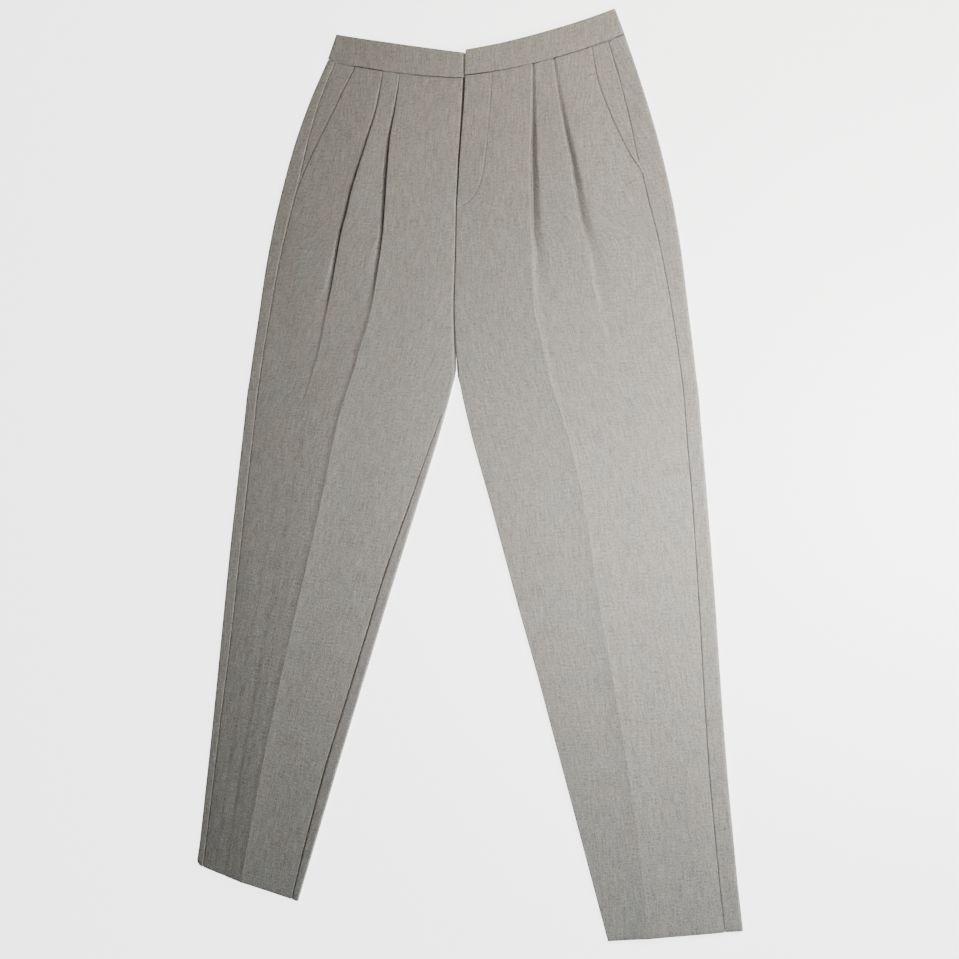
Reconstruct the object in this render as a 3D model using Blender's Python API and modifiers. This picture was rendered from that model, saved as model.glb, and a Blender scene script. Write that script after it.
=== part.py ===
"""Pleated dress trousers, laid flat on their back with the front up.

Tapered, high-waisted trousers: two fronts with two outward pleats and a pressed crease
each, two plain backs that wrap round the leg's edges, a waistband in two halves that
meet at centre back and overlap at the fly, slanted side pockets, a fly shield and a zip.

The waist points to +Y, the front faces +Z and the wearer's left is at +X. The underside
lies on z = 0 and the origin is in the middle of it. Tables and sizes are in millimetres.
"""

import math
from collections import namedtuple

import bmesh
import bpy

MM = 0.001

CLOTH = 1.2  # wall of every piece
GAP = 0.3  # between layers and across seams
PITCH = CLOTH + GAP  # one layer above the next
FLOOR_LEVEL = CLOTH / 2  # middle of the cloth, layer by layer
LOW_LEVEL = FLOOR_LEVEL + PITCH
MID_LEVEL = LOW_LEVEL + PITCH
TOP_LEVEL = MID_LEVEL + PITCH
FOLD_RADIUS = PITCH / 2  # of the middle of the cloth where it turns back on itself
FOLD_FACETS = 3
LEAST_BEND = math.radians(60)  # a fold that turns less keeps the length of this bend
STRAIGHT = None  # in place of a bend's degrees

BAND_HEIGHT = 28.0
BAND_NARROWING = 0.94  # top edge against bottom edge
WAIST_SEAM = 0.25  # each side of the seam under the band
FLY_FOOT = 308.0  # lower end of the fly
UNDERLAP = 36.0  # the right half of the band runs this far under the left half
FLY_LAP = 3.0  # the left front covers the right front by this much
POCKET_UNDER = 12.0  # facing hidden under the edge of the front
SHIELD_EDGES = (-8.0, 34.0)  # either side of the fly's edge
SHIELD_FOOT = FLY_FOOT + 4.0
ZIP_EDGES = (3.6, 13.6)
ZIP_FOOT = FLY_FOOT + 8.0
ROUNDED_FOOT = ((6.0, 0.9), (2.0, 0.65))  # height above the foot, share of the width
TABLE_MIDDLE = 5.6  # the tables' y at the middle of the garment

# One row for each section across a leg, from the waist seam to the hem.
# y_in, y_out: at the centre or inner edge, and at the outer edge. sag: dip between them.
# sway: centre line towards the wearer's left. x_in, x_out: inner and outer edge.
Outline = namedtuple("Outline", "name y_in y_out sag sway x_in x_out")
OUTLINE = [
    Outline("waist", 461, 492, 5, 0, 0, 181),
    Outline("pleat top", 428, 446, 3, -1, 0, 200),
    Outline("pocket", 388, 400, 1, -3, 0, 217),
    Outline("pocket low", 358, 358, 0, -4.5, 0, 229.5),
    Outline("pocket end", 338, 335, 0, -5, 0, 235.5),
    Outline("fly end", 308, 304, 0, -6, 0, 243),
    Outline("fly stop", 298, 292, 0, -6, 0, 245.5),
    Outline("hip", 262, 252, 0, -6, 0, 253),
    Outline("seat", 200, 190, 0, -6.5, 0, 262),
    Outline("fork", 150, 142, 0, -4, 0, 269),
    Outline("crotch", 123, 116, 0, -2, 0.7, 272.5),
    Outline("below crotch", 108, 104, 0, -1.5, 4.5, 274.5),
    Outline("inner thigh", 88, 92, 0, -1.5, 9.5, 276),
    Outline("thigh top", 60, 76, 0, -1.5, 17, 277.5),
    Outline("thigh", -30, 0, 0, -1, 45, 285.5),
    Outline("above knee", -130, -104, 0, -1, 76, 296),
    Outline("knee", -230, -204, 0, 0, 107, 305),
    Outline("calf", -340, -313, 0, 0, 140, 315),
    Outline("shin", -440, -412, 0, 0, 169.5, 325),
    Outline("hem", -509, -479, 0, 0, 190, 331.5),
]

# How each leg lies. crease: first pleat and the crease below it. second: second pleat.
# pocket: edge of the opening, 0 below it. side: width of back that shows along the outer
# edge. inseam: how far the inseam lies past the inner edge, on the front, or under it.
Leg = namedtuple("Leg", "name crease second pocket side inseam")
LEFT_LEG = [
    Leg("waist", 82, 104, 144, 20, 0),
    Leg("pleat top", 83, 110, 156, 21, 0),
    Leg("pocket", 83, 120, 175, 24, 0),
    Leg("pocket low", 82, 129, 195, 27, 0),
    Leg("pocket end", 82.5, 133, 0, 26.5, 0),
    Leg("fly end", 84, 140, 0, 26, 0),
    Leg("fly stop", 84.5, 143, 0, 25, 0),
    Leg("hip", 88, 152, 0, 22, 0),
    Leg("seat", 93, 163, 0, 18, 0),
    Leg("fork", 106, 172, 0, 16.5, 0),
    Leg("crotch", 112, 180, 0, 16, 0),
    Leg("below crotch", 117, 184, 0, 16, 0),
    Leg("inner thigh", 123, 189, 0, 16, -1),
    Leg("thigh top", 132, 196, 0, 16, -2.5),
    Leg("thigh", 156, 213, 0, 16, -2.5),
    Leg("above knee", 176, 228, 0, 17, -2.5),
    Leg("knee", 197, 242, 0, 18, -2.5),
    Leg("calf", 216.5, 256, 0, 19, -2.5),
    Leg("shin", 231, 269, 0, 19, -2.5),
    Leg("hem", 238, 276, 0, 19, -2.5),
]
RIGHT_LEG = [
    Leg("waist", 82, 104, 144, 10, 0),
    Leg("pleat top", 88, 112, 163, 13, 0),
    Leg("pocket", 94, 125, 186, 17, 0),
    Leg("pocket low", 96.5, 137, 206, 20, 0),
    Leg("pocket end", 98, 144, 0, 20.5, 0),
    Leg("fly end", 100, 151, 0, 20, 0),
    Leg("fly stop", 101, 154, 0, 19.5, 0),
    Leg("hip", 107, 161, 0, 18, 0),
    Leg("seat", 116, 172, 0, 16, 0),
    Leg("fork", 130, 182, 0, 15, 0),
    Leg("crotch", 137, 190, 0, 15, 0),
    Leg("below crotch", 142, 194, 0, 15, 0),
    Leg("inner thigh", 147, 198, 0, 15, 2.5),
    Leg("thigh top", 154, 204, 0, 15, 6),
    Leg("thigh", 171, 218, 0, 15, 11),
    Leg("above knee", 194, 236, 0, 15, 15),
    Leg("knee", 217, 252, 0, 14, 15),
    Leg("calf", 240, 271, 0, 11, 16),
    Leg("shin", 259.5, 287, 0, 10, 13),
    Leg("hem", 272, 297, 0, 9, 9),
]

# The front's folds. centre, under: level of the centre edge on the left and right front.
# ridge: top of the first pleat or the crease. low: level past the second pleat.
# edge: level of the outer edge. depth and turn: how far each pleat's cloth runs back
# under it, and by how many degrees it turns to do so. bow: 1 is a straight facet.
Folds = namedtuple("Folds", "name centre under ridge depth turn low depth_2 turn_2 edge bow")
FOLDS = [
    Folds("waist", 5.1, 3.6, 5.1, 13, 180, 2.1, 11, 180, 3.6, 3),
    Folds("pleat top", 5.1, 3.6, 5.1, 12, 180, 2.1, 10, 180, 3.6, 3),
    Folds("pocket", 5.1, 3.6, 5.1, 10, 180, 2.1, 8, 180, 3.6, 3),
    Folds("pocket low", 5.1, 3.6, 5.1, 8, 180, 2.1, 5, 180, 3.6, 3),
    Folds("pocket end", 5.1, 3.6, 5.1, 7, 180, 2.1, 3.5, 180, 2.1, 3),
    Folds("fly end", 5.1, 3.6, 5.2, 5, 180, 2.2, 1.5, 170, 2.1, 3),
    Folds("fly stop", 5.1, 3.6, 5.2, 4.5, 180, 2.3, 0.8, 140, 2.1, 3),
    Folds("hip", 3.6, 3.6, 5.4, 2, 180, 2.6, 0.8, 60, 2.1, 2),
    Folds("seat", 3.0, 3.0, 5.5, 0.6, 130, 2.8, 1.5, 20, 2.1, 1.6),
    Folds("fork", 3.4, 3.4, 5.5, 0.8, 60, 2.9, 2, 8, 2.1, 1.4),
    Folds("crotch", 3.6, 3.6, 5.4, 1.5, 34, 3.0, 2, 4, 2.1, 1.3),
    Folds("below crotch", 3.6, 3.6, 5.3, 2, 28, 3.1, 2, 2, 2.1, 1.2),
    Folds("inner thigh", 3.2, 3.2, 5.3, 2, 22, 3.1, 2, 0, 2.1, 1.1),
    Folds("thigh top", 2.6, 2.6, 5.2, 2, 18, 3.2, 2, 0, 2.1, 1.1),
    Folds("thigh", 2.3, 2.3, 5.2, 2, 9, 3.4, 2, 0, 2.1, 1.1),
    Folds("above knee", 2.1, 2.1, 5.2, 2, 6, 3.5, 2, 0, 2.1, 1.1),
    Folds("knee", 2.1, 2.1, 5.2, 2, 5, 3.5, 2, 0, 2.1, 1.1),
    Folds("calf", 2.1, 2.1, 5.0, 2, 5, 3.4, 2, 0, 2.1, 1.1),
    Folds("shin", 2.1, 2.1, 4.8, 2, 5, 3.3, 2, 0, 2.1, 1.1),
    Folds("hem", 2.1, 2.1, 4.6, 2, 5, 3.2, 2, 0, 2.1, 1.1),
]

# The band's front layer: distance from the centre front, and level.
BAND_FRONT = [(20, TOP_LEVEL), (55, TOP_LEVEL), (90, TOP_LEVEL), (110, TOP_LEVEL),
              (130, 4.3), (150, 3.2), (168, LOW_LEVEL)]
BAND_BACK_SHARES = (0.85, 0.6, 0.35, 0.15)  # points across the band's back layer
PANEL_SHARES = (0.25, 0.5, 0.75)  # points across a plain stretch of a panel
PLEAT_EASE = 3.0  # plain cloth before the pleat's hidden layers start
POCKET_EASE = 14.0  # the front is up on the facing this far inside its edge
LEG_START = 1.0  # an inner edge nearer the centre line than this is the centre seam's
EDGE_STEP = 0.25  # least distance between the first points at a panel's inner edge
ROUND_EASE = 0.5  # more room each side of an inseam that runs on the round of the edge
EDGE_REST = 4.0  # flat cloth past the round of the inner edge

GREIGE = (0.386, 0.376, 0.328, 1.0)
SHADOW_GREIGE = (0.33, 0.32, 0.28, 1.0)
ZIP_GREY = (0.2, 0.19, 0.17, 1.0)


def clear_scene():
    for obj in list(bpy.data.objects):
        bpy.data.objects.remove(obj, do_unlink=True)


def cloth_material(name, colour):
    material = bpy.data.materials.new(name)
    material.use_nodes = True
    shader = material.node_tree.nodes["Principled BSDF"]
    shader.inputs["Base Color"].default_value = colour
    shader.inputs["Roughness"].default_value = 0.85
    shader.inputs["Metallic"].default_value = 0.0
    return material


def mix(a, b, share):
    return a + (b - a) * share


def turned_path(start, bends):
    """Points from start, heading outward; each bend is (degrees turned, radius or length)."""
    x, z = start
    heading = 0.0
    points = [start]
    for degrees, size in bends:
        if degrees is STRAIGHT:
            turn, facets, length = 0.0, 1, size
        else:
            turn, facets = math.radians(degrees), FOLD_FACETS
            length = size * max(abs(turn), LEAST_BEND)
        chord = length / facets
        if turn:
            chord = 2 * length / abs(turn) * math.sin(abs(turn) / (2 * facets))
        for facet in range(facets):
            angle = heading + turn * (facet + 0.5) / facets
            x += chord * math.cos(angle)
            z += chord * math.sin(angle)
            points.append((x, z))
        heading += turn
    return points


def pleat(edge, top, turn, depth):
    """The cloth over a fold, back under it by its depth, and out again below."""
    reach = (FOLD_RADIUS + CLOTH / 2) * math.sin(math.radians(min(turn, 90)))
    bends = [(-turn, FOLD_RADIUS), (STRAIGHT, depth), (turn, FOLD_RADIUS)]
    return turned_path((edge - reach, top), bends)


def pleat_drop(turn, depth):
    path = pleat(0.0, 0.0, turn, depth)
    return -path[-1][1]


def outer_fold(edge, strip):
    """From the flat layer at the floor, round the leg's outer edge and back as a strip."""
    reach = FOLD_RADIUS + CLOTH / 2
    return turned_path((edge - reach, FLOOR_LEVEL), [(180, FOLD_RADIUS), (STRAIGHT, strip - reach)])


def round_edge(edge, radius, travel):
    """A point on the leg's inner edge; travel is 0 at its rim and positive on the front."""
    quarter = radius * math.pi / 2
    middle = edge + radius + CLOTH / 2
    if abs(travel) > quarter:
        level = FLOOR_LEVEL + (2 * radius if travel > 0 else 0.0)
        return middle + abs(travel) - quarter, level
    angle = travel / radius
    return middle - radius * math.cos(angle), FLOOR_LEVEL + radius * (1 + math.sin(angle))


def inner_edge(outline, side, seam, level, top, lap=0.0):
    """A panel's first points: flat to the centre seam, or round the leg to the inseam."""
    edge = outline.x_in + side * outline.sway
    way = 1 if top else -1
    if outline.x_in < LEG_START:
        first = edge + GAP / 2 - lap
        steps = [EDGE_STEP * i for i in range(5)] + [EDGE_STEP * 4 + EDGE_REST]
        return [(first + step, level if top else FLOOR_LEVEL) for step in steps]
    radius = (level - FLOOR_LEVEL) / 2
    quarter = radius * math.pi / 2
    ease = ROUND_EASE if abs(seam) < 2 * quarter else 0.0
    cut = way * seam + GAP / 2 + ease
    travels = [cut]
    for i, knot in enumerate((-1, -1 / 3, 1 / 3, 1), start=1):
        travels.append(max(knot * quarter, cut + EDGE_STEP * i))
    travels.append(travels[-1] + EDGE_REST)
    return [round_edge(edge, radius, way * travel) for travel in travels]


def across(outline, x):
    """The y of a section where it crosses x, measured from the middle of the garment."""
    share = max(0.0, min(1.0, (x - outline.x_in) / (outline.x_out - outline.x_in)))
    dip = 4 * outline.sag * share * (1 - share)
    return mix(outline.y_in, outline.y_out, share) - dip - TABLE_MIDDLE


def front_section(outline, leg, folds, side):
    level = folds.centre if side > 0 else folds.under
    lap = 0.0
    if outline.y_in >= FLY_FOOT:
        lap = GAP / 2 if side > 0 else FLY_LAP + GAP / 2
    path = inner_edge(outline, side, leg.inseam, level, True, lap)
    start, level = path[-1]
    before = leg.crease - folds.depth - PLEAT_EASE - FOLD_RADIUS
    for share in PANEL_SHARES:
        rise = 1 - (1 - share) ** folds.bow
        path.append((mix(start, before, share), mix(level, folds.ridge, rise)))
    path.append((before, folds.ridge))
    first = pleat(leg.crease, folds.ridge, folds.turn, folds.depth)
    path += first
    path.append((max(first[-1][0], leg.crease) + FOLD_RADIUS, first[-1][1]))
    second_top = folds.low + pleat_drop(folds.turn_2, folds.depth_2)
    path.append((leg.second - folds.depth_2 - PLEAT_EASE, second_top))
    second = pleat(leg.second, second_top, folds.turn_2, folds.depth_2)
    path += second
    path.append((max(second[-1][0], leg.second) + FOLD_RADIUS, second[-1][1]))
    edge = leg.pocket or outline.x_out - leg.side - GAP
    if leg.pocket:
        path.append((edge - POCKET_EASE, folds.edge))
    else:
        path.append((mix(leg.second, edge, 0.5), mix(folds.low, folds.edge, 0.5)))
    path.append((edge, folds.edge))
    return path


def back_section(outline, leg, folds, side):
    path = inner_edge(outline, side, leg.inseam, folds.centre, False)
    outer = outer_fold(outline.x_out, leg.side)
    start = path[-1][0]
    for share in PANEL_SHARES:
        path.append((mix(start, outer[0][0], share), FLOOR_LEVEL))
    return path + outer


def facing_section(outline, leg, folds, side):
    inner = leg.pocket - POCKET_UNDER
    outer = outline.x_out - leg.side - GAP
    return [(inner, LOW_LEVEL), ((inner + outer) / 2, LOW_LEVEL), (outer, LOW_LEVEL)]


def panel_rows(section, legs, side, last="hem"):
    rows = []
    for outline, leg, folds in zip(OUTLINE, legs, FOLDS):
        below_band = WAIST_SEAM if outline.name == "waist" else 0.0
        rows.append([(side * x, across(outline, x) - below_band, z)
                     for x, z in section(outline, leg, folds, side)])
        if outline.name == last:
            break
    return rows


def band_rows(side):
    """The band's lower and upper edges, from the centre front round the side to the back."""
    waist = OUTLINE[0]
    if side > 0:
        path = [(0.0, TOP_LEVEL)]
    else:
        path = [(-UNDERLAP, MID_LEVEL), (-UNDERLAP / 2, MID_LEVEL), (0.0, MID_LEVEL)]
    path += BAND_FRONT
    fold = outer_fold(waist.x_out, waist.x_out - BAND_FRONT[-1][0] - CLOTH)
    path += list(reversed(fold))
    path += [(fold[0][0] * share, FLOOR_LEVEL) for share in BAND_BACK_SHARES]
    path.append((GAP / 2, FLOOR_LEVEL))
    lower = [(side * x, across(waist, abs(x)) + WAIST_SEAM, z) for x, z in path]
    return [lower, [(x * BAND_NARROWING, y + BAND_HEIGHT, z) for x, y, z in lower]]


def fly_rows(edges, level, foot):
    """A straight strip along the fly, from the waist seam to its rounded lower end."""
    rows = []
    for outline in OUTLINE:
        if outline.y_in <= foot + ROUNDED_FOOT[0][0]:
            break
        rows.append([(outline.sway + x, outline.y_in - TABLE_MIDDLE, level) for x in edges])
    rows[0] = [(x, y - WAIST_SEAM - GAP, z) for x, y, z in rows[0]]
    end_middle = outline.sway + mix(*edges, 0.5)
    for rise, share in ROUNDED_FOOT:
        half = (edges[1] - edges[0]) / 2 * share
        y = foot + rise - TABLE_MIDDLE
        rows.append([(end_middle - half, y, level), (end_middle + half, y, level)])
    return rows


def loft(rows):
    """An open surface through rows of points, facing up where the rows run to +X."""
    mesh = bmesh.new()
    grid = [[mesh.verts.new((x * MM, y * MM, z * MM)) for x, y, z in row] for row in rows]
    for upper, lower in zip(grid, grid[1:]):
        for i in range(len(upper) - 1):
            mesh.faces.new((lower[i], lower[i + 1], upper[i + 1], upper[i]))
    return mesh


def cloth_piece(name, rows, material, collection):
    surface = loft(rows)
    data = bpy.data.meshes.new(name)
    surface.to_mesh(data)
    surface.free()
    data.materials.append(material)
    piece = bpy.data.objects.new(name, data)
    collection.objects.link(piece)
    wall = piece.modifiers.new("wall", "SOLIDIFY")
    wall.thickness = CLOTH * MM
    wall.offset = 0.0
    wall.use_even_offset = True
    return piece


def build():
    clear_scene()
    trousers = bpy.data.collections.new("pleated_trousers")
    bpy.context.scene.collection.children.link(trousers)
    for word, side, legs in (("left", 1, LEFT_LEG), ("right", -1, RIGHT_LEG)):
        pieces = {
            "front": (panel_rows(front_section, legs, side), GREIGE),
            "back": (panel_rows(back_section, legs, side), GREIGE),
            "waistband": (band_rows(side), GREIGE),
            "pocket_facing": (panel_rows(facing_section, legs, side, "pocket low"), SHADOW_GREIGE),
        }
        for kind, (rows, colour) in pieces.items():
            name = f"{kind}_{word}"
            cloth_piece(name, rows, cloth_material(name, colour), trousers)
    shield = cloth_material("fly_shield", SHADOW_GREIGE)
    cloth_piece("fly_shield", fly_rows(SHIELD_EDGES, LOW_LEVEL, SHIELD_FOOT), shield, trousers)
    tape = cloth_material("zip_tape", ZIP_GREY)
    cloth_piece("zip_tape", fly_rows(ZIP_EDGES, MID_LEVEL, ZIP_FOOT), tape, trousers)


build()
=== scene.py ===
"""The looks of the pleated dress trousers: thin cloth shells on the frame's panels, with
their pleats, pressed creases, rolled edges, seams, stitches and slubbed weave.

The waist points to +Y, the front faces +Z and the wearer's left is at +X. Tables and
sizes are in millimetres, from the same outlines as the frame; meshes are in metres.
"""

import math
from collections import namedtuple

import bpy
import numpy as np
from mathutils import Matrix, Vector
from mathutils.bvhtree import BVHTree


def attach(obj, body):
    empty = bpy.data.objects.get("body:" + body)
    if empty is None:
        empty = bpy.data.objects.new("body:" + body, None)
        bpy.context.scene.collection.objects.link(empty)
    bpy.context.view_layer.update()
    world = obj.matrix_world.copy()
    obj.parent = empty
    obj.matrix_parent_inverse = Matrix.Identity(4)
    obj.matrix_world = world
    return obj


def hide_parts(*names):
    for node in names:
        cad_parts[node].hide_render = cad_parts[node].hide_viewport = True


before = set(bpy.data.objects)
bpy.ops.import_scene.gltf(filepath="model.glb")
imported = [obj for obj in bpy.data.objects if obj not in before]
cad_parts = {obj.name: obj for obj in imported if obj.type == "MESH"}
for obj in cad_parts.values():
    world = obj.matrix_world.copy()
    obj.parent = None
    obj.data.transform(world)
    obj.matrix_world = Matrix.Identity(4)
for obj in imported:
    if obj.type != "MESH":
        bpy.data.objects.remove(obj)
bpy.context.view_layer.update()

MM = 0.001
BODY = "root"
WORDS = {1: "left", -1: "right"}  # the wearer's side

WALL = 0.7  # suiting
BAND_WALL = 1.7  # suiting, interfacing and facing together
GAP = 0.3
FLOOR_LEVEL = WALL / 2  # middle of the cloth that lies on the floor
TABLE_MIDDLE = 5.6  # the tables' y at the middle of the garment
BAND_HEIGHT = 28.0
BAND_NARROWING = 0.94
UNDERLAP = 36.0
LEG_START = 1.0  # an inner edge nearer the centre line than this is the centre seam's

Outline = namedtuple("Outline", "name y_in y_out sag sway x_in x_out")
OUTLINE = [
    Outline("waist", 461, 492, 5, 0, 0, 181),
    Outline("pleat top", 428, 446, 3, -1, 0, 200),
    Outline("pocket", 388, 400, 1, -3, 0, 217),
    Outline("pocket low", 358, 358, 0, -4.5, 0, 229.5),
    Outline("pocket end", 338, 335, 0, -5, 0, 235.5),
    Outline("fly end", 308, 304, 0, -6, 0, 243),
    Outline("fly stop", 298, 292, 0, -6, 0, 245.5),
    Outline("hip", 262, 252, 0, -6, 0, 253),
    Outline("seat", 200, 190, 0, -6.5, 0, 262),
    Outline("fork", 150, 142, 0, -4, 0, 269),
    Outline("crotch", 123, 116, 0, -2, 0.7, 272.5),
    Outline("below crotch", 108, 104, 0, -1.5, 4.5, 274.5),
    Outline("inner thigh", 88, 92, 0, -1.5, 9.5, 276),
    Outline("thigh top", 60, 76, 0, -1.5, 17, 277.5),
    Outline("thigh", -30, 0, 0, -1, 45, 285.5),
    Outline("above knee", -130, -104, 0, -1, 76, 296),
    Outline("knee", -230, -204, 0, 0, 107, 305),
    Outline("calf", -340, -313, 0, 0, 140, 315),
    Outline("shin", -440, -412, 0, 0, 169.5, 325),
    Outline("hem", -509, -479, 0, 0, 190, 331.5),
]

# How each side strays from that outline.
Stray = namedtuple("Stray", "name y_in y_out sag x_out")
LEFT_STRAY = [
    Stray("waist", 0, -1.5, 2, 4.5),
    Stray("pleat top", 0, 0, 0, 1.5),
    Stray("pocket", 0, 0, 0, 0),
    Stray("knee", 0, 0, 0, 0.5),
    Stray("shin", 6, 8, 0, 2),
    Stray("hem", 8, 11, 0, 4),
]
RIGHT_STRAY = [
    Stray("waist", -2.5, 4, 0, -6.5),
    Stray("pleat top", -1, 1, 0, -2),
    Stray("pocket", 0, 0, 0, -1),
    Stray("knee", 0, 0, 0, -1),
    Stray("shin", -1, -3, 0, -1),
    Stray("hem", -2, -6, 0, 0),
]

# How each leg lies, close to the frame's. crease: first pleat and the crease below it.
# second: second pleat. pocket: edge of the opening, 0 below it. side: width of back that
# shows along the outer edge. inseam: how far the inseam lies past the inner edge.
Leg = namedtuple("Leg", "name crease second pocket side inseam")
LEFT_LEG = [
    Leg("waist", 81.5, 105.5, 144, 18.5, 0),
    Leg("pleat top", 81.8, 111.5, 156, 21, 0),
    Leg("pocket", 82.7, 120.3, 175, 24, 0),
    Leg("pocket low", 83.1, 128.8, 195, 27, 0),
    Leg("pocket end", 84, 132.8, 0, 26.5, 0),
    Leg("fly end", 85, 138.6, 0, 26, 0),
    Leg("fly stop", 85.4, 141.3, 0, 25, 0),
    Leg("hip", 88, 151, 0, 22, 0),
    Leg("seat", 91.5, 164.5, 0, 18, 0),
    Leg("fork", 104, 176, 0, 16.5, 0),
    Leg("crotch", 110, 184, 0, 16, 0),
    Leg("below crotch", 114.5, 188, 0, 16, 0),
    Leg("inner thigh", 120.5, 193, 0, 16, -1),
    Leg("thigh top", 129, 200, 0, 16, -2.5),
    Leg("thigh", 152.5, 217, 0, 16, -2.5),
    Leg("above knee", 171.5, 232, 0, 17, -2.5),
    Leg("knee", 192, 246, 0, 18, -2.5),
    Leg("calf", 213, 260, 0, 19, -2.5),
    Leg("shin", 228.5, 273, 0, 19, -2.5),
    Leg("hem", 236, 280, 0, 19, -2.5),
]
RIGHT_LEG = [
    Leg("waist", 79, 101, 144, 10, 0),
    Leg("pleat top", 84, 107.5, 163, 13, 0),
    Leg("pocket", 89.5, 119.5, 186, 17, 0),
    Leg("pocket low", 91.5, 131, 206, 20, 0),
    Leg("pocket end", 92.5, 137.5, 0, 20.5, 0),
    Leg("fly end", 94, 144.5, 0, 20, 0),
    Leg("fly stop", 94.5, 148, 0, 19.5, 0),
    Leg("hip", 99, 155.5, 0, 18, 0),
    Leg("seat", 108, 167, 0, 16, 0),
    Leg("fork", 122.5, 177, 0, 15, 0),
    Leg("crotch", 130, 185, 0, 15, 0),
    Leg("below crotch", 135, 189, 0, 15, 0),
    Leg("inner thigh", 140, 193, 0, 15, 2.5),
    Leg("thigh top", 147, 199, 0, 15, 6),
    Leg("thigh", 164, 213, 0, 15, 11),
    Leg("above knee", 187, 231, 0, 15, 15),
    Leg("knee", 210, 247, 0, 14, 15),
    Leg("calf", 233.5, 266, 0, 11, 16),
    Leg("shin", 253, 282, 0, 10, 13),
    Leg("hem", 266, 292, 0, 9, 9),
]

# Levels of the cloth. left, right: each front at its inner edge. slit: gap between the
# two at the centre. roll and dip: how that edge rounds down. side: the front at its
# outer edge. strip: the back beside it. crisp: share of a facet's rise at the crease.
Lie = namedtuple("Lie", "name left right slit roll dip side strip crisp")
LIE = [
    Lie("waist", 5.6, 4.6, 4.0, 0.8, 1.2, 3.6, 3.2, 0.0),
    Lie("pleat top", 5.9, 4.7, 3.8, 0.9, 1.4, 4.0, 3.4, 0.0),
    Lie("pocket", 6.1, 4.8, 3.2, 0.9, 1.8, 4.2, 3.7, 0.0),
    Lie("pocket low", 6.1, 4.9, 2.8, 0.9, 2.0, 4.2, 4.0, 0.0),
    Lie("pocket end", 5.9, 5.0, 2.5, 1.0, 2.2, 4.2, 4.2, 0.0),
    Lie("fly end", 5.6, 5.1, 1.6, 1.2, 2.6, 4.3, 4.3, 0.05),
    Lie("fly stop", 5.4, 5.1, 1.4, 1.3, 2.8, 4.4, 4.4, 0.05),
    Lie("hip", 5.3, 5.3, 1.2, 1.4, 3.0, 4.6, 4.6, 0.1),
    Lie("seat", 5.3, 5.3, 1.3, 1.6, 3.4, 4.6, 4.6, 0.15),
    Lie("fork", 5.2, 5.2, 2.6, 2.0, 4.0, 4.6, 4.6, 0.2),
    Lie("crotch", 5.0, 5.0, 4.4, 2.2, 4.0, 4.5, 4.5, 0.2),
    Lie("thigh top", 4.4, 4.4, 0.8, 2.0, 2.0, 4.4, 4.4, 0.22),
    Lie("thigh", 4.2, 4.2, 0.8, 2.0, 2.0, 4.2, 4.2, 0.22),
    Lie("knee", 4.0, 4.0, 0.8, 2.0, 2.0, 4.0, 4.0, 0.24),
    Lie("shin", 3.8, 3.8, 0.8, 2.0, 2.0, 3.8, 3.8, 0.22),
    Lie("hem", 3.6, 3.6, 0.8, 2.0, 2.0, 3.6, 3.6, 0.2),
]

# A pleat and the soft line below it. crest: level of its edge. turn: degrees by which
# the cloth turns under. depth: cloth hidden under it. low: level it comes out at.
# far: flat run past the edge. slope, shoulder: how it comes up (or falls) after that.
Pleat = namedtuple("Pleat", "name crest turn depth low far slope shoulder")
LEFT_FIRST = [
    Pleat("waist", 5.4, 180, 12, 3.0, 0.4, 3, 4.9),
    Pleat("pleat top", 6.5, 180, 12, 2.3, 0.6, 5.0, 5.2),
    Pleat("pocket", 9.0, 180, 10, 1.7, 0.8, 6.4, 7.0),
    Pleat("pocket low", 10.0, 180, 8, 1.5, 0.9, 8.2, 7.9),
    Pleat("fly end", 10.5, 180, 5, 1.5, 0.9, 11, 8.2),
    Pleat("hip", 9.9, 105, 0, 4.6, 1.2, 11, 7.8),
    Pleat("seat", 9.3, 22, 0, 7.5, 2, 22, 7.2),
    Pleat("fork", 8.8, 22, 0, 7.2, 2, 28, 6.8),
    Pleat("thigh top", 9.0, 14, 0, 7.9, 2, 30, 6.8),
    Pleat("thigh", 9.2, 12, 0, 8.2, 2, 26, 6.8),
    Pleat("knee", 9.0, 10, 0, 8.2, 2, 20, 6.6),
    Pleat("shin", 8.0, 8, 0, 7.4, 2, 16, 6.2),
    Pleat("hem", 6.8, 6, 0, 6.4, 2, 14, 5.6),
]
LEFT_SECOND = [
    Pleat("waist", 5.0, 180, 11, 2.8, 0.4, 3, 4.5),
    Pleat("pleat top", 6.0, 180, 10, 2.3, 0.6, 5.2, 4.8),
    Pleat("pocket", 8.7, 180, 8, 1.6, 0.8, 6.0, 6.8),
    Pleat("pocket low", 9.8, 180, 5, 1.4, 0.9, 7.4, 7.7),
    Pleat("fly end", 10.3, 180, 2, 1.5, 1.0, 10.5, 8.0),
    Pleat("hip", 9.3, 110, 0, 4.2, 1.2, 13, 7.0),
    Pleat("seat", 7.8, 36, 0, 5.8, 2, 20, 6.2),
    Pleat("fork", 6.5, 16, 0, 5.7, 2, 20, 5.6),
    Pleat("thigh top", 6.4, 5, 0, 6.1, 2, 20, 5.5),
    Pleat("thigh", 6.4, 3, 0, 6.2, 2, 18, 5.4),
    Pleat("knee", 6.2, 3, 0, 6.0, 2, 15, 5.3),
    Pleat("shin", 5.8, 3, 0, 5.6, 2, 12, 5.0),
    Pleat("hem", 5.2, 3, 0, 5.0, 2, 12, 4.6),
]
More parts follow.
